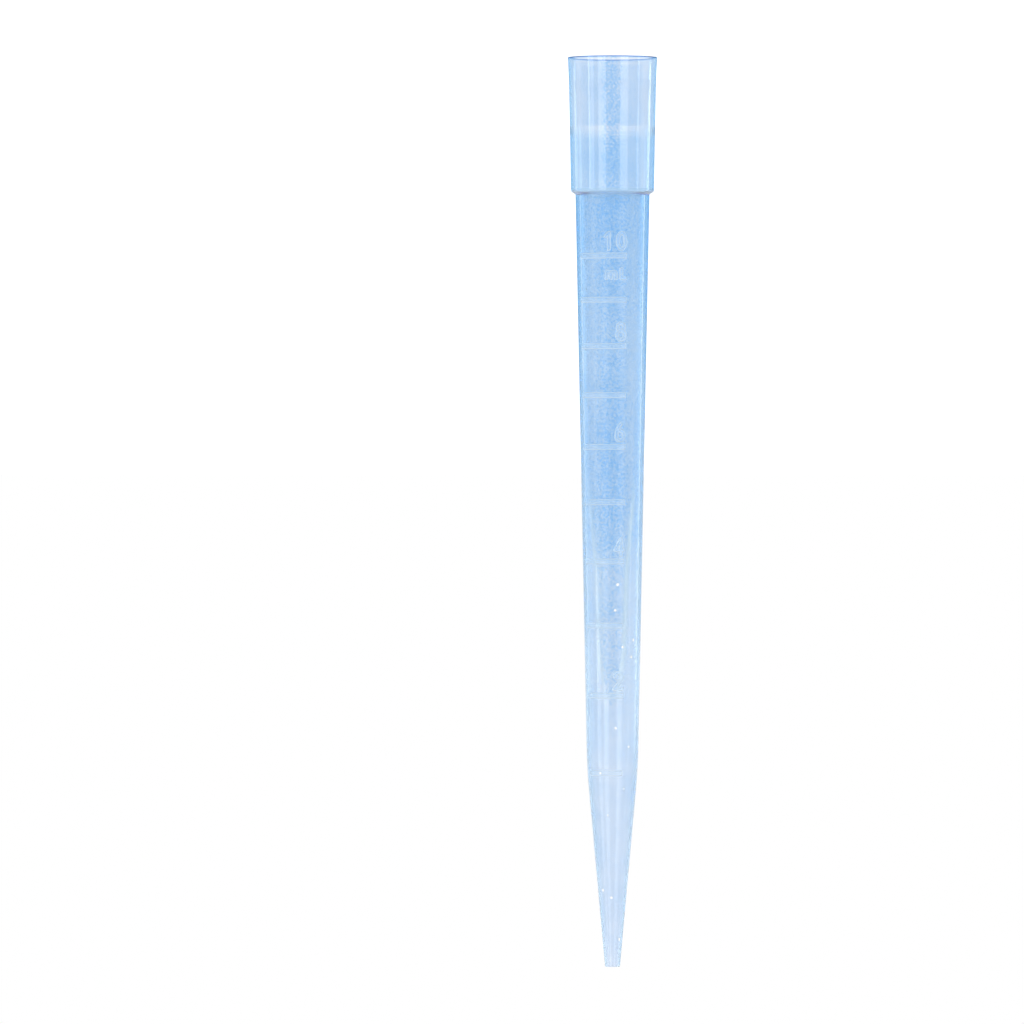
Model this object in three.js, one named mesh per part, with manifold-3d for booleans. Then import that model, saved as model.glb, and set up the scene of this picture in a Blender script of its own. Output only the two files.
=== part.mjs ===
// A graduated 10 ml pipette tip, moulded in one piece from tinted polypropylene.
//
// Millimetres, +Z up. The tip stands on its wide rim with its point up, so the
// rim's face is z = 0 and the axis of the bore is the Z axis.
//
// One closed profile is turned round the axis. Its outer side has a thin collar
// that flares at the rim and grips the pipette's nozzle, a shoulder, a long
// slender body and a steeper point. Its inner side is the outer one set back by
// the wall, with the nozzle's socket and the ledge that stops it. Raised
// graduations, one for each millilitre, stand where the bore holds exactly that
// volume.

import * as THREE from 'three';
import { mergeVertices } from 'three/addons/utils/BufferGeometryUtils.js';
import Module from 'manifold-3d';

// ---------------------------------------------------------------- dimensions

// Lengths along the axis, from the rim to the point.
const flareLength = 4.5; // end of the collar that opens out to the rim
const mouthLength = 15.3; // upper part of the collar, where the nozzle enters
const seatLength = 11.0; // lower part of the collar, where the nozzle seals
const shoulderLength = 0.65; // slope from the collar down to the body
const bodyLength = 112.5;
const pointLength = 38.75;

// Outside diameters.
const rimDiameter = 17.5;
const flareEndDiameter = 17.1;
const seatDiameter = 16.65; // where the mouth ends and the seat begins
const collarEndDiameter = 16.25;
const bodyDiameter = 14.5; // just past the shoulder
const kneeDiameter = 9.93; // where the body turns into the point
const tipDiameter = 2.9;

// Rounded corners, each given by how far its curve reaches from the corner.
const rimRound = 0.12;
const flareRound = 3.2;
const collarRound = 0.2;
const kneeRound = 4.2;
const tipRound = 0.22;

// Walls.
const mouthWall = 0.5;
const seatWall = 0.65;
const bodyWall = 0.9;
const kneeWall = 0.5;
const tipWall = 0.4;

// The socket for the nozzle.
const leadIn = 0.12; // chamfer inside the rim
const seatRamp = 1.6; // length of the cone that narrows the mouth to the seat
const ledgeSetback = 0.35; // distance from the collar's end back to the ledge
const ledgeSlope = 0.85; // length of the sloped ledge, which follows the shoulder

// Graduations: raised bands that cover a part of the way round.
const volumePerMark = 1000; // cubic millimetres, 1 ml
const nominalVolume = 10000; // cubic millimetres, 10 ml
const markWidth = 1.35;
const markRaise = 0.16;
const markDraft = 0.12; // how far each flank leans in from the band's foot
const markRoot = 0.2; // how deep a band is rooted in the wall
const markStartAngle = -114; // degrees round +Z from +X
const markSpanAngle = 90; // degrees

// Fineness of the facets.
const facetsRound = 96;
const facetsPerCorner = 4;

// ------------------------------------------------------------ derived places

const flareEndZ = flareLength;
const seatZ = mouthLength;
const collarEndZ = seatZ + seatLength;
const bodyZ = collarEndZ + shoulderLength;
const kneeZ = bodyZ + bodyLength;
const tipZ = kneeZ + pointLength;
const ledgeZ = collarEndZ - ledgeSetback;

// The outside as straight stretches between corners, each with its wall.
const stations = [
  { z: 0, radius: rimDiameter / 2, wall: mouthWall },
  { z: flareEndZ, radius: flareEndDiameter / 2, wall: mouthWall },
  { z: seatZ, radius: seatDiameter / 2, wall: seatWall },
  { z: collarEndZ, radius: collarEndDiameter / 2, wall: seatWall },
  { z: bodyZ, radius: bodyDiameter / 2, wall: bodyWall },
  { z: kneeZ, radius: kneeDiameter / 2, wall: kneeWall },
  { z: tipZ, radius: tipDiameter / 2, wall: tipWall },
];

function between(low, high, z, key) {
  return THREE.MathUtils.mapLinear(z, low.z, high.z, low[key], high[key]);
}

function outerRadius(z) {
  const high = stations.findIndex((station) => station.z > z);
  const upper = high < 1 ? stations.length - 1 : high;
  return between(stations[upper - 1], stations[upper], z, 'radius');
}

// The bore's corners, from the orifice back to the rim.
function boreCorners() {
  const [rim, flareEnd, seat, collarEnd, body, knee, tip] = stations;
  const rampStartZ = seatZ - seatRamp;
  const ledgeEndZ = ledgeZ + ledgeSlope;
  const seatBore = between(seat, collarEnd, ledgeZ, 'radius') - seatWall;
  return [
    new THREE.Vector2(tip.radius - tip.wall, tip.z),
    new THREE.Vector2(knee.radius - knee.wall, knee.z),
    new THREE.Vector2(body.radius - body.wall, ledgeEndZ),
    new THREE.Vector2(seatBore, ledgeZ),
    new THREE.Vector2(seat.radius - seat.wall, seat.z),
    new THREE.Vector2(outerRadius(rampStartZ) - mouthWall, rampStartZ),
    new THREE.Vector2(flareEnd.radius - mouthWall, flareEnd.z),
    new THREE.Vector2(outerRadius(leadIn) - mouthWall, leadIn),
    new THREE.Vector2(rim.radius - mouthWall + leadIn, rim.z),
  ];
}

// ------------------------------------------------------------------- profile

// Draws straight stretches through the corners and rounds those that have a
// round, by a curve that leaves and meets the stretches at that distance.
function drawRounded(path, corners) {
  corners.forEach((corner, index) => {
    const here = corner.point;
    const before = corners[index - 1];
    const after = corners[index + 1];
    if (!corner.round || !before || !after) {
      path.lineTo(here.x, here.y);
      return;
    }
    const arrive = before.point.clone().sub(here).setLength(corner.round).add(here);
    const leave = after.point.clone().sub(here).setLength(corner.round).add(here);
    path.lineTo(arrive.x, arrive.y);
    path.quadraticCurveTo(here.x, here.y, leave.x, leave.y);
  });
}

function tipProfile(bore) {
  const rimInside = bore[bore.length - 1];
  const orifice = bore[0];
  const rounds = [rimRound, flareRound, 0, collarRound, 0, kneeRound, tipRound];
  const outside = stations.map((station, index) => ({
    point: new THREE.Vector2(station.radius, station.z),
    round: rounds[index],
  }));
  const path = new THREE.Path();
  path.moveTo(rimInside.x, rimInside.y);
  drawRounded(path, [{ point: rimInside }, ...outside, { point: orifice }]);
  bore.slice(1).forEach((corner) => path.lineTo(corner.x, corner.y));
  return withoutRepeats(path.getPoints(facetsPerCorner));
}

// Drops a point that repeats the one before it; the last closes on the first.
function withoutRepeats(points) {
  return points.filter((point, index) => index === 0 || point.distanceTo(points[index - 1]) > 1e-6);
}

// --------------------------------------------------------------- graduations

// The volume of the bore between two of its corners, as a cut cone.
function coneVolume(first, second) {
  const areas = first.x ** 2 + first.x * second.x + second.x ** 2;
  return (Math.PI / 3) * areas * Math.abs(first.y - second.y);
}

// The height at which the bore, filled from the orifice, holds a volume.
// Returns null where the bore between orifice and ledge is too small for it.
function heightHolding(volume, bore) {
  const corners = bore.slice(0, 3);
  let left = volume;
  for (let index = 1; index < corners.length; index += 1) {
    const from = corners[index - 1];
    const to = corners[index];
    const whole = coneVolume(from, to);
    if (left <= whole) {
      // A cut cone's volume grows with the cube of its distance from the apex.
      const slope = (to.x - from.x) / (from.y - to.y);
      const cube = from.x ** 3 + (3 * slope * left) / Math.PI;
      return from.y - (Math.cbrt(cube) - from.x) / slope;
    }
    left -= whole;
  }
  return null;
}

function graduationHeights(bore) {
  const heights = [];
  for (let volume = volumePerMark; volume <= nominalVolume; volume += volumePerMark) {
    const height = heightHolding(volume, bore);
    if (height !== null && height - markWidth > bodyZ) heights.push(height);
  }
  return heights;
}

// A band's section: its foot in the wall, its flanks leaning in to its top.
function markProfile(height) {
  const foot = markWidth / 2;
  const crest = foot - markDraft;
  const at = (offset, raise) => {
    const z = height + offset;
    return new THREE.Vector2(outerRadius(z) + raise, z);
  };
  const section = [
    at(-foot, -markRoot),
    at(-foot, 0),
    at(-crest, markRaise),
    at(crest, markRaise),
    at(foot, 0),
    at(foot, -markRoot),
  ];
  return [...section, section[0].clone()];
}

// -------------------------------------------------------------------- solids

const wasm = await Module();
wasm.setup();

// Turns a closed profile (radius, height) round the Z axis.
function turned(profile) {
  return new THREE.LatheGeometry(profile, facetsRound).rotateX(Math.PI / 2);
}

function toSolid(geometry) {
  const bare = geometry.clone();
  bare.deleteAttribute('normal');
  bare.deleteAttribute('uv');
  const merged = mergeVertices(bare, 1e-5);
  return new wasm.Manifold(
    new wasm.Mesh({
      numProp: 3,
      vertProperties: new Float32Array(merged.attributes.position.array),
      triVerts: new Uint32Array(merged.index.array),
    }),
  );
}

function toGeometry(solid) {
  const mesh = solid.getMesh();
  const geometry = new THREE.BufferGeometry();
  geometry.setAttribute('position', new THREE.BufferAttribute(mesh.vertProperties, 3));
  geometry.setIndex(new THREE.BufferAttribute(mesh.triVerts, 1));
  geometry.computeVertexNormals();
  return geometry;
}

// The wedge of space, from the axis outwards, that the graduations cover.
function markSector() {
  const reach = rimDiameter;
  const start = THREE.MathUtils.degToRad(markStartAngle);
  const end = THREE.MathUtils.degToRad(markStartAngle + markSpanAngle);
  const outline = new THREE.Shape();
  outline.moveTo(0, 0);
  outline.lineTo(reach * Math.cos(start), reach * Math.sin(start));
  outline.absarc(0, 0, reach, start, end, false);
  outline.closePath();
  return toSolid(new THREE.ExtrudeGeometry(outline, { depth: tipZ, bevelEnabled: false }));
}

function buildTip() {
  const bore = boreCorners();
  const sector = markSector();
  const plain = toSolid(turned(tipProfile(bore)));
  return graduationHeights(bore).reduce((tip, height) => {
    const band = toSolid(turned(markProfile(height))).intersect(sector);
    return tip.add(band);
  }, plain);
}

// --------------------------------------------------------------------- model

const polypropylene = new THREE.MeshStandardMaterial({
  color: new THREE.Color(0.64, 0.8, 0.95),
  roughness: 0.35,
  metalness: 0,
  transparent: true,
  opacity: 0.8,
});

const pipetteTip = new THREE.Mesh(toGeometry(buildTip()), polypropylene);
pipetteTip.name = 'pipette_tip';

const group = new THREE.Group();
group.add(pipetteTip);

export default group;
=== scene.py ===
"""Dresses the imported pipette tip: a smooth moulded wall with soft raised graduations
and numerals in blue-tinted polypropylene, on a pale floor under soft studio light.

Shapes are worked out in millimetres and turned into metres when a mesh is made.
The tip stands on its rim, so its point is up; the numerals read the right way up
when the point is down, and the camera is rolled to show it like that.
"""

import math

import bmesh
import bpy
import numpy as np
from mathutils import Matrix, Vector


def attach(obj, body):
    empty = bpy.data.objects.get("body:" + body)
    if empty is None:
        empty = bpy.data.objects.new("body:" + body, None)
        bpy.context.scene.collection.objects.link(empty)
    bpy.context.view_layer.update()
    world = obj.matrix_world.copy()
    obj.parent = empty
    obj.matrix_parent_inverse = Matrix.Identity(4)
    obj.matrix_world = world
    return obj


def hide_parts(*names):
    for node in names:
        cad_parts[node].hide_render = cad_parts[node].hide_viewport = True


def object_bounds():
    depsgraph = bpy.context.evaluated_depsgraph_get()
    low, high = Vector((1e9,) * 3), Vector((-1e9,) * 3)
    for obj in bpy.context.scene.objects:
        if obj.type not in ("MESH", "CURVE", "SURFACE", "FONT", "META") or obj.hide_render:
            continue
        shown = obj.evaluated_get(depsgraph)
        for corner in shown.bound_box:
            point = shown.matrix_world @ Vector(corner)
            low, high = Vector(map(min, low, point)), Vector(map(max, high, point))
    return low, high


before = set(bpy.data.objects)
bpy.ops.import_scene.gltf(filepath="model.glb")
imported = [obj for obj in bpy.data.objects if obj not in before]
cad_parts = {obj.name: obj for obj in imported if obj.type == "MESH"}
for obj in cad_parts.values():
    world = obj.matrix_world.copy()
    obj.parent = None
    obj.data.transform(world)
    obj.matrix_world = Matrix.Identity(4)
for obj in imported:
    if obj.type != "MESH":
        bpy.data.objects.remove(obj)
cad_low, cad_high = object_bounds()

MM = 0.001
NODE = "pipette_tip"
LENGTH = (cad_high.z - cad_low.z) / MM
WHITE = (1.0, 1.0, 1.0)


# ---------------------------------------------------------------- camera

# In metres, apart from the sensor's width, which is in millimetres.
CAMERA_DISTANCE = 1.8
CAMERA_ASIDE = 0.0197
FRAME_HEIGHT = 0.2007  # how much of the tip's plane the picture shows from top to bottom
SENSOR = 36.0


def add_camera():
    """Level with the tip's middle and rolled upside down, so the point is down."""
    data = bpy.data.cameras.new("camera")
    data.sensor_width = SENSOR
    data.lens = SENSOR * CAMERA_DISTANCE / FRAME_HEIGHT
    camera = bpy.data.objects.new("camera", data)
    camera.location = (CAMERA_ASIDE, -CAMERA_DISTANCE, (cad_low.z + cad_high.z) / 2)
    camera.rotation_euler = (-math.pi / 2, 0, math.pi)
    bpy.context.scene.collection.objects.link(camera)
    bpy.context.scene.camera = camera


# ------------------------------------------------------------- reading the frame

MARK_WIDTH = 1.35  # of a graduation, along the tip
MARK_RAISE = 0.16
WELD_DISTANCE = 1e-6  # metres
ON_PLANE = 1e-3  # how near to x = 0 the section's points lie
LEDGE = (25.95, 26.8)  # where the ledge inside the collar starts and ends
SHOULDER = (26.3, 26.95)  # the same for the shoulder outside; the ledge is drawn level with it
LEDGE_MARGIN = 0.1


def welded(node):
    """The node's mesh in millimetres, with its split corners joined."""
    shape = bmesh.new()
    shape.from_mesh(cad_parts[node].data)
    bmesh.ops.remove_doubles(shape, verts=shape.verts, dist=WELD_DISTANCE)
    for vert in shape.verts:
        vert.co /= MM
    return shape


def section_loop(shape):
    """The wall's section behind the axis, as (radius, z) points in order round it.

    It starts inside the rim, climbs the outside to the point and comes back
    down the bore.
    """
    behind = [v for v in shape.verts if abs(v.co.x) < ON_PLANE and v.co.y > 0]
    here = min(behind, key=lambda v: (v.co.z, v.co.y))
    cut = set(behind)
    loop = [here]
    while True:
        beside = [e.other_vert(here) for e in here.link_edges]
        beside = [v for v in beside if v in cut and v not in loop]
        if not beside:
            break
        here = max(beside, key=lambda v: v.co.y) if len(loop) == 1 else beside[0]
        loop.append(here)
    return np.array([(v.co.y, v.co.z) for v in loop])


def move_ledge(bore):
    """Sets the ledge inside the collar level with the shoulder outside."""
    low, high = LEDGE[0] - LEDGE_MARGIN, LEDGE[1] + LEDGE_MARGIN
    ledge = (bore[:, 1] > low) & (bore[:, 1] < high)
    bore[ledge, 1] = np.interp(bore[ledge, 1], LEDGE, SHOULDER)


def find_graduations(shape, outside):
    """Each raised mark's middle height, and the angles where the marks start and end."""
    proud = []
    for vert in shape.verts:
        radius = math.hypot(vert.co.x, vert.co.y)
        above = radius - np.interp(vert.co.z, outside[:, 1], outside[:, 0])
        if above > MARK_RAISE / 2:
            proud.append((vert.co.z, math.degrees(math.atan2(vert.co.y, vert.co.x))))
    proud.sort()
    groups = [[proud[0]]]
    for point in proud[1:]:
        if point[0] - groups[-1][-1][0] > 2 * MARK_WIDTH:
            groups.append([])
        groups[-1].append(point)
    heights = [(group[0][0] + group[-1][0]) / 2 for group in groups]
    angles = [angle for _, angle in proud]
    return heights, min(angles), max(angles)


# ------------------------------------------------------------ raised numerals

DRAFT = 0.4  # how wide the sloping flank of a raised shape is
STROKE = 0.62
DIGIT_WIDTH = 2.15
DIGIT_HEIGHT = 3.75
DIGIT_GAP = 0.45
DIGIT_LIFT = 0.3  # from a mark's edge to the digits that stand on it
UNIT = "mL"
UNIT_WIDTHS = (2.4, 1.4)  # of its letters
UNIT_HEIGHT = 2.35
UNIT_GAP = 0.5
UNIT_DROP = 1.7  # from the top mark's other edge to the unit below it
TEXT_END = 1.2  # degrees from the marks' end to the end of the numerals


def arc(cx, cy, rx, ry, start, end, steps=24):
    """Points along an ellipse, angles in degrees, anticlockwise as read."""
    turns = np.radians(np.linspace(start, end, steps))
    return [(cx + rx * math.cos(t), cy + ry * math.sin(t)) for t in turns]


# Centre lines of the strokes, in a box from 0 to 1 each way.
GLYPHS = {
    "0": [arc(0.5, 0.5, 0.5, 0.5, 0, 360, 40)],
    "1": [[(0.12, 0.78), (0.55, 1.0), (0.55, 0.0)]],
    "2": [arc(0.5, 0.72, 0.48, 0.28, 165, -38, 22) + [(0.02, 0.0), (1.0, 0.0)]],
    "4": [[(0.74, 0.0), (0.74, 1.0), (0.0, 0.3), (1.0, 0.3)]],
    "6": [
        arc(0.5, 0.3, 0.5, 0.3, 0, 360, 32),
        [(0.0, 0.3), (0.06, 0.52), (0.28, 0.82), (0.56, 1.0)],
    ],
    "8": [
        arc(0.5, 0.77, 0.42, 0.23, 0, 360, 30),
        arc(0.5, 0.27, 0.5, 0.27, 0, 360, 32),
    ],
    "m": [
        [(0.0, 0.0), (0.0, 0.72)],
        arc(0.25, 0.47, 0.25, 0.25, 180, 0, 14) + [(0.5, 0.0)],
        arc(0.75, 0.47, 0.25, 0.25, 180, 0, 14) + [(1.0, 0.0)],
    ],
    "L": [[(0.0, 1.0), (0.0, 0.0), (1.0, 0.0)]],
}


def strokes_for(text, widths, height, gap):
    """The text's centre lines in millimetres, ending at x = 0 and standing on y = 0."""
    lines = []
    right = 0.0
    for letter, width in zip(reversed(text), reversed(widths)):
        left = right - width + STROKE / 2
        wide, tall = width - STROKE, height - STROKE
        for line in GLYPHS[letter]:
            lines.append([(left + x * wide, STROKE / 2 + y * tall) for x, y in line])
        right -= width + gap
    return lines


def text_blocks(heights):
    """Each block of lettering: its lines, the height of its foot and how tall it is."""
    blocks = []
    count = len(heights)
    for index in range(0, count, 2):
        text = str(count - index)
        foot = heights[index] - MARK_WIDTH / 2 - DIGIT_LIFT
        lines = strokes_for(text, [DIGIT_WIDTH] * len(text), DIGIT_HEIGHT, DIGIT_GAP)
        blocks.append((lines, foot, DIGIT_HEIGHT))
    lines = strokes_for(UNIT, UNIT_WIDTHS, UNIT_HEIGHT, UNIT_GAP)
    foot = heights[0] + MARK_WIDTH / 2 + UNIT_DROP + UNIT_HEIGHT
    blocks.append((lines, foot, UNIT_HEIGHT))
    return blocks


def distance_to(lines, x, y):
    """How far each point of a grid is from the nearest of the centre lines."""
    nearest = np.full(x.shape, np.inf)
    for line in lines:
        for (ax, ay), (bx, by) in zip(line, line[1:]):
            dx, dy = bx - ax, by - ay
            along = ((x - ax) * dx + (y - ay) * dy) / (dx * dx + dy * dy)
            along = np.clip(along, 0, 1)
            away = np.hypot(x - ax - along * dx, y - ay - along * dy)
            nearest = np.minimum(nearest, away)
    return nearest


def flank(inside):
    """Height of a raised shape, from 0 at its edge to 1 once a draft's width in."""
    t = np.clip(inside / DRAFT, 0, 1)
    return t * t * (3 - 2 * t)


def raised_share(marks, blocks, z, angle, radius):
    """Height of the raised shapes at each point of a grid, from 0 to 1."""
    heights, first_angle, last_angle = marks
    start, end = math.radians(first_angle), math.radians(last_angle)
    raised = np.zeros_like(z)
    for height in heights:
        from_ends = np.minimum(angle - start, end - angle) * radius
        inside = np.minimum(MARK_WIDTH / 2 - abs(z - height), from_ends)
        raised = np.maximum(raised, flank(inside))
    across = (start + math.radians(TEXT_END) - angle) * radius
    for lines, foot, _ in blocks:
        inside = STROKE / 2 + DRAFT / 2 - distance_to(lines, across, foot - z)
        raised = np.maximum(raised, flank(inside))
    return raised


# ---------------------------------------------------------------- the wall

# The grid's steps: up in millimetres and round in degrees.
COARSE_STEP = 5.0
FINE_STEP = 0.14
COARSE_TURN = 2.0
FINE_TURN = 0.8
LEAST = 0.45  # rows or columns closer than this share of the fine step are thinned out
LONG = 0.6  # a stretch longer than this gets a ring close to each of its ends
SUPPORT = 0.08  # how close
# Where the columns are fine, in degrees from the marks' two ends.
TEXT_COLUMNS = (-2.0, 40.0)
END_COLUMNS = (-3.0, 1.6)
SHARP_ANGLE = 45.0  # degrees between two faces, past which their edge is shaded sharp


def divide(low, high, step):
    """Even steps from low to high, both ends included."""
    return np.linspace(low, high, max(2, math.ceil((high - low) / step) + 1))


def thinned(parts, least):
    """The parts' values in order, without those that nearly repeat another."""
    kept = []
    for value in sorted(np.concatenate(parts)):
        if not kept or value - kept[-1] > least:
            kept.append(value)
    return np.array(kept)


def rows_up(outside, heights, blocks):
    """Heights of the outer rings: coarse on the plain wall, fine across raised shapes."""
    corners = outside[:, 1]
    rows = [corners]
    for low, high in zip(corners, corners[1:]):
        rows.append(divide(low, high, COARSE_STEP))
        if high - low > LONG:
            rows.append([low + SUPPORT, high - SUPPORT])
    for height in heights:
        rows.append(divide(height - MARK_WIDTH / 2, height + MARK_WIDTH / 2, FINE_STEP))
    for _, foot, tall in blocks:
        rows.append(divide(foot - tall - DRAFT, foot + DRAFT, FINE_STEP))
    # The corners stay in any case, because the section turns there.
    kept = thinned(rows, FINE_STEP * LEAST)
    return np.array(sorted(set(kept) | set(corners)))


def columns_round(first_angle, last_angle):
    """The columns' angles in radians: fine at the lettering and at the marks' other end."""
    turns = [divide(-180, 180, COARSE_TURN)[:-1]]
    for angle, (before, after) in ((first_angle, TEXT_COLUMNS), (last_angle, END_COLUMNS)):
        turns.append(divide(angle + before, angle + after, FINE_TURN))
    return np.radians(thinned(turns, FINE_TURN * LEAST))


def stretch_shares(length):
    """Where the rings of a straight stretch stand, as shares of its length."""
    shares = divide(0, 1, COARSE_STEP / length)
    if length > LONG:
        shares = np.concatenate([shares, [SUPPORT / length, 1 - SUPPORT / length]])
    return sorted(set(shares))


def bore_rings(chain):
    """The rings' (radius, z) along a chain of corners, without the chain's two ends."""
    rings = []
    for start, end in zip(chain, chain[1:]):
        for share in stretch_shares(math.dist(start, end))[1:]:
            rings.append(start + (end - start) * share)
    return np.array(rings[:-1])


def ring_faces(rings, columns):
    """Faces between neighbouring rings, with the last ring joined to the first."""
    faces = []
    for ring in range(rings):
        below = ring * columns
        above = (ring + 1) % rings * columns
        for column in range(columns):
            beside = (column + 1) % columns
            faces.append((below + column, below + beside, above + beside, above + column))
    return faces


def add_shares(mesh, name, shares):
    """Gives the first points a number that the material reads, and the others 0."""
    values = np.zeros(len(mesh.vertices), dtype=np.float32)
    values[: shares.size] = shares.ravel()
    mesh.attributes.new(name, "FLOAT", "POINT").data.foreach_set("value", values)


def wall_mesh(radii, levels, angles, raised):
    """A closed skin of rings, whose first ones are the outside with its raised shapes."""
    x = radii * np.cos(angles)
    y = radii * np.sin(angles)
    z = np.repeat(levels[:, None], len(angles), axis=1)
    points = np.stack([x, y, z], axis=-1).reshape(-1, 3) * MM
    mesh = bpy.data.meshes.new("moulded_tip")
    mesh.from_pydata(points.tolist(), [], ring_faces(len(levels), len(angles)))
    add_shares(mesh, "raised", raised)
    add_shares(mesh, "outside", np.ones_like(raised))
    mesh.validate()
    mesh.shade_smooth()
    mesh.set_sharp_from_angle(angle=math.radians(SHARP_ANGLE))
    return mesh


def build_wall():
    """The tip as one piece: the frame's section turned smoothly, with its raised shapes."""
    shape = welded(NODE)
    loop = section_loop(shape)
    top = int(np.argmax(loop[:, 1]))
    rim, outside, bore = loop[0], loop[1 : top + 1], loop[top + 1 :]
    move_ledge(bore)
    marks = find_graduations(shape, outside)
    shape.free()
    heights, first_angle, last_angle = marks
    blocks = text_blocks(heights)

    rows = rows_up(outside, heights, blocks)
    angles = columns_round(first_angle, last_angle)
    columns = len(angles)
    grid_z, grid_angle = np.meshgrid(rows, angles, indexing="ij")
    plain = np.interp(grid_z, outside[:, 1], outside[:, 0])
    raised = raised_share(marks, blocks, grid_z, grid_angle, plain)
    inner = bore_rings([outside[-1], *bore, rim])

    rim_radii = np.full(columns, rim[0])
    inner_radii = np.repeat(inner[:, :1], columns, axis=1)
    radii = np.vstack([rim_radii, plain + MARK_RAISE * raised, inner_radii])
    levels = np.concatenate([rim[1:], rows, inner[:, 1]])
    raised = np.vstack([np.zeros(columns), raised])
    piece = bpy.data.objects.new("moulded_tip", wall_mesh(radii, levels, angles, raised))
    bpy.context.scene.collection.objects.link(piece)
    return piece


# ---------------------------------------------------------------- shader nodes

NOISE_RANGE = (0.3, 0.7)  # the values of a noise that are spread over 0 to 1


class Tree:
    """A material's or world's node tree, with short ways to add and join its nodes."""

    def __init__(self, owner):
        owner.use_nodes = True
        self.tree = owner.node_tree
        self.tree.nodes.clear()

    def set(self, socket, value):
        """Links a socket, or writes a plain value to it."""
        if isinstance(value, bpy.types.NodeSocket):
            self.tree.links.new(value, socket)
        elif socket.type == "RGBA":
            socket.default_value = (*value, 1)
        else:
            socket.default_value = value

    def add(self, kind, inputs=None, **settings):
        """A new node with its settings and its inputs, by name or by place."""
        node = self.tree.nodes.new("ShaderNode" + kind)
        for name, value in settings.items():
            setattr(node, name, value)
        for key, value in (inputs or {}).items():
            self.set(node.inputs[key], value)
        return node

    def math(self, operation, *values, clamp=False):
        inputs = dict(enumerate(values))
        return self.add("Math", inputs, operation=operation, use_clamp=clamp).outputs[0]

    def product(self, first, *others):
        result = first
        for other in others:
            result = self.math("MULTIPLY", result, other)
        return result

    def mix(self, share, first, second, clamp=True):
        """A colour between two others, or past the second if the share isn't clamped."""
        inputs = {"Factor": share, "A": first, "B": second}
        node = self.add("Mix", inputs, data_type="RGBA", clamp_factor=clamp)
        return node.outputs["Result"]

    def blend(self, share, first, second):
        """A number between two others."""
        inputs = {"Factor": share, "A": first, "B": second}
        return self.add("Mix", inputs, data_type="FLOAT").outputs["Result"]

    def cross(self, share, first, second):
        """A shader between two others."""
        return self.add("MixShader", {0: share, 1: first, 2: second}).outputs[0]

    def smooth(self, value, zero, one):
        """A soft step from 0 at the first value to 1 at the second, which may be lower."""
        inputs = {"Value": value, "From Min": zero, "From Max": one}
        node = self.add("MapRange", inputs, interpolation_type="SMOOTHSTEP")
        return node.outputs["Result"]

    def window(self, value, rise, fall):
        """1 between two soft steps: the rise from 0 to 1 and the fall back to 0."""
        return self.product(self.smooth(value, *rise), self.smooth(value, fall[1], fall[0]))

    def along(self, height, stops):
        """A number that changes with height in straight stretches between the stops."""
        low = min(value for _, value in stops)
        high = max(value for _, value in stops)
        share = self.math("DIVIDE", height, LENGTH, clamp=True)
        curve = self.add("FloatCurve", {"Value": share})
        points = curve.mapping.curves[0].points
        while len(points) < len(stops):
            points.new(0.5, 0.5)
        for point, (place, value) in zip(points, stops):
            point.location = (place / LENGTH, (value - low) / (high - low))
            point.handle_type = "VECTOR"
        curve.mapping.update()
        return self.math("MULTIPLY_ADD", curve.outputs[0], high - low, low)

    def noise(self, place, size, detail):
        """Soft patches of about the size, in millimetres, from 0 to 1."""
        inputs = {"Vector": place, "Scale": 1 / (size * MM), "Detail": detail}
        pattern = self.add("TexNoise", inputs).outputs["Fac"]
        return self.smooth(pattern, *NOISE_RANGE)

    def attribute(self, name):
        """The number that each point of the mesh has under this name."""
        return self.add("Attribute", attribute_name=name).outputs["Fac"]


# ---------------------------------------------------------------- material

# Heights are in millimetres above the rim. Angles are in degrees from the middle of the
# matte tongue on the tip's front or back, whichever is nearer. A pair is where a soft
# step starts and ends. A depth of 0 gives the clear tone, and of 1 the deep tone.

BODY_START = (26.8, 27.4)  # height
POINT_START = (124.0, 140.0)  # height

CLEAR_TONE = (1.0, 0.955, 0.985)
POINT_TONE = (1.0, 0.965, 1.0)  # the point's clear tone
DEEP_TONE = (0.80, 0.867, 0.978)
ABSORB_COLOUR = (0.20, 0.70, 0.978)
ABSORB_DENSITY = 490.0
IOR = 1.49

# The matte tongues, whose deeper colour is painted shade. Height, and half the angle that a
# tongue spans.
TONGUE_SPAN = [(27, 52), (78, 50), (88, 42), (100, 29), (116, 24), (124, 12), (128, -3)]
TONGUE_TURN = 4.0  # degrees from the tip's front to the middle of the front tongue
TONGUE_EDGE = 3.0  # degrees over which a tongue's edge fades
MATTE_ROUGHNESS = 0.22

# Height, and how deep the colour is outside the tongues.
DEPTH = [
    (0, 2.8),  # the rim's edge, deep as painted shade
    (0.35, 2.8),
    # A painted highlight: the pale line next to the rim's dark edge.
    (0.45, 0.1),
    (0.7, 0.1),
    (0.9, 1.0),  # the collar round the mouth
    (13.7, 1.05),
    (13.9, 0.45),  # the ramp to the seat
    (15.25, 0.45),
    (15.4, 1.2),  # the collar round the seat
    (25.0, 1.12),
    (27.2, 0.82),  # the body
    (52, 0.52),
    (60, 0.52),
    (68, 0.74),
    (82, 0.92),
    (92, 0.8),
    (98, 0.28),
    (104, 0.1),
    (112, 0.03),
    (120, 0.12),
    (132, 0.22),
    (178, 0.24),  # the point's end
]
# Height, and how much deeper it is inside them, as painted shade.
TONGUE_PAINTED_SHADE = [(26.2, 0.0), (27.2, 0.35), (80, 0.35), (95, 0.4), (116, 0.4), (128, 0.35)]

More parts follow.
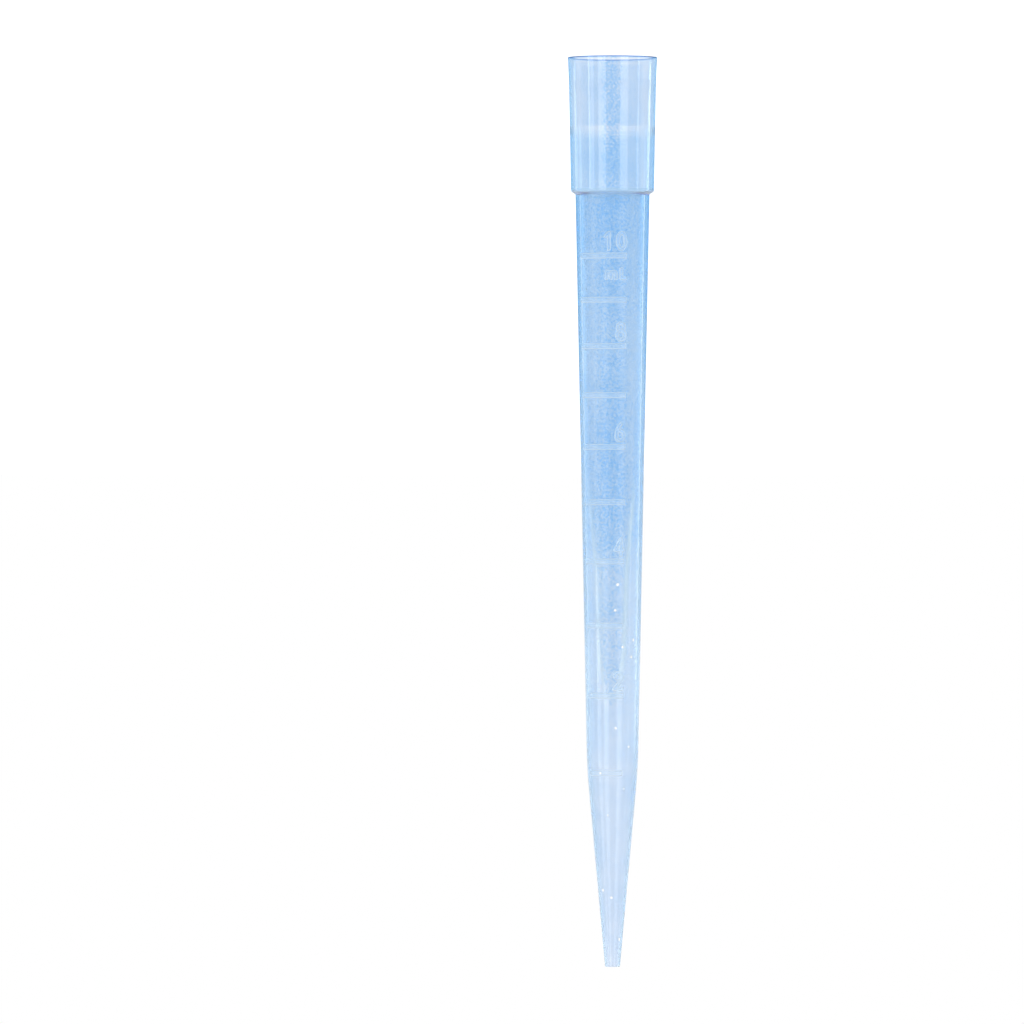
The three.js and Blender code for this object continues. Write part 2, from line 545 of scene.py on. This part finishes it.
# Angles over which the colour turns paler, and by how much: painted highlights at the tongues'
# sides and on the collar beside its painted shade stripe.
TONGUE_SIDE = (12.0, 40.0)
TONGUE_SIDE_HIGHLIGHT = 0.75
SHADE_STRIPE_SIDE = (6.0, 14.0)  # the side of the painted shade stripe down the collar's middle
HIGHLIGHT_BAND_RISE = (40.0, 50.0)  # the collar's painted highlight band, which lies further round
HIGHLIGHT_BAND_FALL = (64.0, 72.0)
COLLAR_HIGHLIGHT = 0.5

# Patches of grain and blotches, and how far each swings the depth.
GRAIN_SIZE = 0.45
GRAIN_DETAIL = 1.0
GRAIN_DEPTH = 0.03  # of the bumps in the tongues
GRAIN_STRENGTH = 0.6
MATTE_SWING = 2.3
STRIPE_SWING = 1.8
COLLAR_SWING = 0.4
BODY_SWING = 1.2
POINT_SWING = 0.3
CALM_START = (110.0, 140.0)  # height, where the body's swing turns into the point's
BLOTCH_SIZE = 6.25
BLOTCH_DETAIL = 2.0
BLOTCH_SWING = 0.4

# Height, and the share of light that the plain wall scatters at its surface.
HAZE = [(0, 0.03), (27, 0.03), (80, 0.04), (178, 0.04)]
# Height, and the share of a clear gloss on top outside the tongues.
COAT = [(0, 0.12), (27, 0.12), (100, 0.15), (128, 0.15), (140, 0.08), (178, 0.08)]
COAT_ROUGHNESS = 0.05
# Height, and the roughness outside the tongues.
GLOSS_ROUGHNESS = [(0, 0.03), (26, 0.03), (27, 0.1), (120, 0.14), (145, 0.2), (178, 0.2)]

# Raised shapes scatter more light than the plain wall does, and their flanks are paler still:
# a painted highlight along their edges.
RAISED_TONE = (0.88, 0.95, 1.0)
RAISED_PALER = 0.6  # how far their tops go from the wall's colour to that tone
RAISED_HAZE = 0.19
RAISED_ROUGHNESS = 0.25
FLANK_HIGHLIGHT_PALER = 0.9
FLANK_HIGHLIGHT_HAZE = 0.34

# A painted highlight: a pale band on the sloped step under the collar.
STEP_RISE = (25.6, 26.0)  # height
STEP_FALL = (26.8, 27.2)
STEP_HIGHLIGHT_TONE = (0.75, 0.88, 1.0)
STEP_HIGHLIGHT_HAZE = 0.25

# A painted highlight: the pale border along the sides of a tongue where it narrows to its end.
BORDER_RISE = (-2.0, 1.5)  # degrees past the tongue's edge
BORDER_FALL = (3.0, 11.0)
BORDER_START = (80.0, 90.0)  # height
BORDER_END = (118.0, 128.0)
BORDER_HIGHLIGHT_HAZE = 0.13

# Painted shade: the dark blue outline of the rim's edge.
RIM_END = (0.2, 0.3)  # height
RIM_SHADE_TONE = (0.36, 0.52, 0.85)

# Tiny white specks in the outer face, on the graduated side alone.
SPECK_SPACING = 2.8
SPECK_SIZE = 0.125  # as a share of the spacing
SPECK_CORE = 0.6  # the share of a speck that is fully white
SPECK_START = (98.0, 102.0)  # height
SPECK_SIDE = (52.0, 58.0)  # angle
SPECK_HAZE = 1.0
FRONT_FADE = 1.0  # millimetres in front of the axis where the graduated side is full


class Places:
    """Where on the tip the shaded point is: its height and angle, and regions as 0 to 1."""

    def __init__(self, tree):
        self.object = tree.add("TexCoord").outputs["Object"]
        axes = tree.add("SeparateXYZ", {0: self.object}).outputs
        self.height = tree.math("DIVIDE", axes["Z"], MM)
        bearing = tree.math("ARCTAN2", axes["X"], axes["Y"])
        bearing = tree.math("ADD", bearing, math.radians(TONGUE_TURN))
        # Half the folded double angle counts from the front and from the back alike.
        doubled = tree.math("COSINE", tree.product(bearing, 2.0))
        self.angle = tree.product(tree.math("ARCCOSINE", doubled), math.degrees(0.5))
        span = tree.along(self.height, TONGUE_SPAN)
        self.past_tongue = tree.math("SUBTRACT", self.angle, span)
        self.body = tree.smooth(self.height, *BODY_START)
        self.collar = tree.math("SUBTRACT", 1.0, self.body)
        tongue = tree.smooth(self.past_tongue, TONGUE_EDGE / 2, -TONGUE_EDGE / 2)
        # The tongue's mask: matte and grainy, and deepened by painted shade.
        self.matte = tree.product(tongue, self.body)
        self.front = tree.smooth(axes["Y"], 0.0, -FRONT_FADE * MM)
        self.outside = tree.attribute("outside")
        self.raised = tree.attribute("raised")
        # The product is largest halfway up a flank, where it is a quarter.
        slope = tree.product(self.raised, tree.math("SUBTRACT", 1.0, self.raised))
        self.flank = tree.math("MULTIPLY", slope, 4.0, clamp=True)


def colour_depth(tree, at, grain):
    """How deep the colour is: by height, deeper in the tongues as painted shade, paler to the
    sides as painted highlights, and swung by the grain.
    """
    deeper = tree.product(tree.along(at.height, TONGUE_PAINTED_SHADE), at.matte)
    depth = tree.math("ADD", tree.along(at.height, DEPTH), deeper)
    shade_stripe_side = tree.smooth(at.angle, *SHADE_STRIPE_SIDE)
    for paler, region, share in (
        (TONGUE_SIDE_HIGHLIGHT, at.matte, tree.smooth(at.angle, *TONGUE_SIDE)),
        (COLLAR_HIGHLIGHT, at.collar, shade_stripe_side),
        (COLLAR_HIGHLIGHT, at.collar, tree.window(at.angle, HIGHLIGHT_BAND_RISE, HIGHLIGHT_BAND_FALL)),
    ):
        depth = tree.math("SUBTRACT", depth, tree.product(region, share, paler))
    body_swing = tree.blend(tree.smooth(at.height, *CALM_START), BODY_SWING, POINT_SWING)
    collar_swing = tree.blend(shade_stripe_side, STRIPE_SWING, COLLAR_SWING)
    gloss_swing = tree.blend(at.body, collar_swing, body_swing)
    grain_swing = tree.blend(at.matte, gloss_swing, MATTE_SWING)
    blotch = tree.noise(at.object, BLOTCH_SIZE, BLOTCH_DETAIL)
    for pattern, swing in ((grain, grain_swing), (blotch, BLOTCH_SWING)):
        centred = tree.math("SUBTRACT", pattern, 0.5)
        depth = tree.math("ADD", depth, tree.product(centred, swing))
    return tree.math("MAXIMUM", depth, 0.0)


def step_highlight_region(tree, at):
    return tree.window(at.height, STEP_RISE, STEP_FALL)


def border_highlight_region(tree, at):
    across = tree.window(at.past_tongue, BORDER_RISE, BORDER_FALL)
    return tree.product(across, tree.window(at.height, BORDER_START, BORDER_END))


def speck_region(tree, at):
    cells = tree.add("TexVoronoi", {"Vector": at.object, "Scale": 1 / (SPECK_SPACING * MM)})
    dots = tree.smooth(cells.outputs["Distance"], SPECK_SIZE, SPECK_SIZE * SPECK_CORE)
    past_start = tree.smooth(at.height, *SPECK_START)
    near = tree.smooth(at.angle, SPECK_SIDE[1], SPECK_SIDE[0])
    return tree.product(dots, past_start, at.front, near, at.outside)


def wall_colour(tree, at, depth):
    """The surface's colour, and the share of light that it scatters."""
    clear = tree.mix(tree.smooth(at.height, *POINT_START), CLEAR_TONE, POINT_TONE)
    colour = tree.mix(depth, clear, DEEP_TONE, clamp=False)
    # Raised tops turn paler, and their flanks paler still as a painted highlight.
    paler = tree.blend(at.flank, tree.product(at.raised, RAISED_PALER), FLANK_HIGHLIGHT_PALER)
    colour = tree.mix(paler, colour, RAISED_TONE)
    haze = tree.blend(at.raised, tree.along(at.height, HAZE), RAISED_HAZE)
    haze = tree.blend(at.flank, haze, FLANK_HIGHLIGHT_HAZE)
    # Painted highlights on the step and along the tongues' borders, and the white specks.
    for region, tone, share in (
        (step_highlight_region(tree, at), STEP_HIGHLIGHT_TONE, STEP_HIGHLIGHT_HAZE),
        (border_highlight_region(tree, at), WHITE, BORDER_HIGHLIGHT_HAZE),
        (speck_region(tree, at), WHITE, SPECK_HAZE),
    ):
        colour = tree.mix(region, colour, tone)
        haze = tree.blend(region, haze, share)
    # Painted shade: the rim's edge turns to the dark blue outline tone.
    rim = tree.smooth(at.height, RIM_END[1], RIM_END[0])
    return tree.mix(rim, colour, RIM_SHADE_TONE), haze


def polypropylene():
    """Blue-tinted translucent plastic, with a grainy matte tongue on the front and back;
    painted shade deepens the tongues and the rim's edge, and painted highlights pale the
    tongues' sides and borders, the collar, the step and the raised flanks.
    """
    material = bpy.data.materials.new("tinted_polypropylene")
    tree = Tree(material)
    at = Places(tree)
    grain = tree.noise(at.object, GRAIN_SIZE, GRAIN_DETAIL)
    colour, haze = wall_colour(tree, at, colour_depth(tree, at, grain))
    rough = tree.blend(at.matte, tree.along(at.height, GLOSS_ROUGHNESS), MATTE_ROUGHNESS)
    bump = tree.add(
        "Bump",
        {
            "Strength": tree.product(at.matte, GRAIN_STRENGTH),
            "Distance": GRAIN_DEPTH * MM,
            "Height": grain,
        },
    )
    shader = tree.add(
        "BsdfPrincipled",
        {
            "Base Color": colour,
            "Roughness": tree.blend(at.raised, rough, RAISED_ROUGHNESS),
            "Transmission Weight": tree.math("SUBTRACT", 1.0, haze),
            "IOR": IOR,
            "Coat Weight": tree.blend(at.matte, tree.along(at.height, COAT), 0.0),
            "Coat Roughness": COAT_ROUGHNESS,
            "Normal": bump.outputs[0],
        },
    )
    inside = tree.add("VolumeAbsorption", {"Color": ABSORB_COLOUR, "Density": ABSORB_DENSITY})
    tree.add("OutputMaterial", {"Surface": shader.outputs[0], "Volume": inside.outputs[0]})
    return material


# ---------------------------------------------------------------- stage

# A strength of 1 is white.
AMBIENT = 0.75  # the world's strength as light
SKY_CARD = (0.8, 0.92, 1.0)  # what a reflection shows of the world
FLOOR_TONE = (0.92, 0.92, 0.92)
FLOOR_GLOW = 0.55  # added for straight rays, so that the floor looks white beside its shadow
FLOOR_CARD = (0.25, 0.55, 0.9)  # what a reflection shows of the floor
FLOOR_SIZE = 40.0


def straight_ray(tree, rays):
    """A socket that is 1 for camera, glossy and transmission rays and 0 for the rest."""
    seen = tree.math("MAXIMUM", rays["Is Camera Ray"], rays["Is Glossy Ray"])
    return tree.math("MAXIMUM", seen, rays["Is Transmission Ray"])


def add_world():
    """White for camera and transmission rays, pale blue in reflections, dimmer as light."""
    world = bpy.data.worlds.new("studio")
    bpy.context.scene.world = world
    tree = Tree(world)
    rays = tree.add("LightPath").outputs
    ambient, white, card = (
        tree.add("Background", {"Color": colour, "Strength": strength}).outputs[0]
        for colour, strength in ((WHITE, AMBIENT), (WHITE, 1.0), (SKY_CARD, 1.0))
    )
    shown = tree.cross(straight_ray(tree, rays), ambient, white)
    glossy, through = rays["Is Glossy Ray"], rays["Is Transmission Ray"]
    reflected = tree.math("SUBTRACT", glossy, through, clamp=True)
    tree.add("OutputWorld", {"Surface": tree.cross(reflected, shown, card)})


def floor_material():
    """Pale, with the tip's shadow on it; blue in reflections and white through the tip."""
    material = bpy.data.materials.new("pale_floor")
    tree = Tree(material)
    rays = tree.add("LightPath").outputs
    diffuse = tree.add("BsdfDiffuse", {"Color": FLOOR_TONE}).outputs[0]
    straight_glow = tree.product(straight_ray(tree, rays), FLOOR_GLOW)
    glow, card, white = (
        tree.add("Emission", {"Color": colour, "Strength": strength}).outputs[0]
        for colour, strength in ((WHITE, straight_glow), (FLOOR_CARD, 1.0), (WHITE, 1.0))
    )
    lit = tree.add("AddShader", {0: diffuse, 1: glow}).outputs[0]
    mirrored = tree.cross(rays["Is Glossy Ray"], lit, card)
    through = tree.cross(rays["Is Transmission Ray"], mirrored, white)
    tree.add("OutputMaterial", {"Surface": through})
    return material


def add_floor():
    """A wide plane at the rim's height."""
    bpy.ops.mesh.primitive_plane_add(size=FLOOR_SIZE, location=(0, 0, cad_low.z))
    floor = bpy.context.object
    floor.name = "floor"
    floor.data.materials.append(floor_material())


# ---------------------------------------------------------------- lamps

# In metres.
FAR = 0.8
NEAR = 0.25
RIM_LIFT = 0.175  # up, so that a lamp lights the edges of the point alone
BACK_LIFT = -0.083  # down, so that a lamp leaves those edges out
LAMP_RISE = 1.15  # a lamp's height as a share of its distance
# Each lamp's bearing from the camera in degrees, right positive, the angle it spans,
# its radiance, where 1 is white, its distance from the tip, and its lift.
SOFTBOXES = [
    ("panel_left", -29, 21, 1.5, FAR, 0),
    ("panel_left_side", -57, 9, 1.4, FAR, 0),
    ("strip_left_side", -66, 4, 3.8, FAR, 0),
    ("panel_left_wide", -103, 22, 0.35, FAR, 0),
    ("panel_left_back", -121, 7, 1.6, NEAR, BACK_LIFT),
    ("panel_left_rim", -148, 26, 0.32, NEAR, RIM_LIFT),
    ("panel_right", 31, 22, 1.45, FAR, 0),
    ("strip_right_side", 73, 3, 3.0, FAR, 0),
    ("panel_right_wide", 93, 36, 0.3, FAR, 0),
    ("panel_right_back", 117, 6, 3.2, NEAR, BACK_LIFT),
    ("panel_right_rim", 148, 26, 0.32, NEAR, RIM_LIFT),
]


def add_softbox(name, bearing, span, radiance, distance, lift):
    """A tall lamp that faces the tip and doesn't show to the camera itself."""
    width = 2 * distance * math.tan(math.radians(span) / 2)
    height = distance * LAMP_RISE
    data = bpy.data.lights.new(name, "AREA")
    data.shape = "RECTANGLE"
    data.size = width
    data.size_y = height
    data.energy = radiance * math.pi * width * height
    lamp = bpy.data.objects.new(name, data)
    turn = math.radians(bearing)
    away = Vector((-math.sin(turn), -math.cos(turn), 0))
    lamp.location = (cad_low + cad_high) / 2 + away * distance + Vector((0, 0, lift))
    lamp.rotation_mode = "QUATERNION"
    lamp.rotation_quaternion = away.to_track_quat("Z", "Y")
    lamp.visible_camera = False
    bpy.context.scene.collection.objects.link(lamp)


# ---------------------------------------------------------------- the scene

CLEAR_BOUNCES = 32  # light crosses the thin wall many times near its edges
DIFFUSE_BOUNCES = 8

add_camera()
tip = build_wall()
tip.data.materials.append(polypropylene())
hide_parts(NODE)
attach(tip, "root")
add_world()
add_floor()
for softbox in SOFTBOXES:
    add_softbox(*softbox)

scene = bpy.context.scene
scene.view_settings.view_transform = "Standard"
scene.cycles.max_bounces = CLEAR_BOUNCES
scene.cycles.transmission_bounces = CLEAR_BOUNCES
scene.cycles.glossy_bounces = CLEAR_BOUNCES
scene.cycles.diffuse_bounces = DIFFUSE_BOUNCES
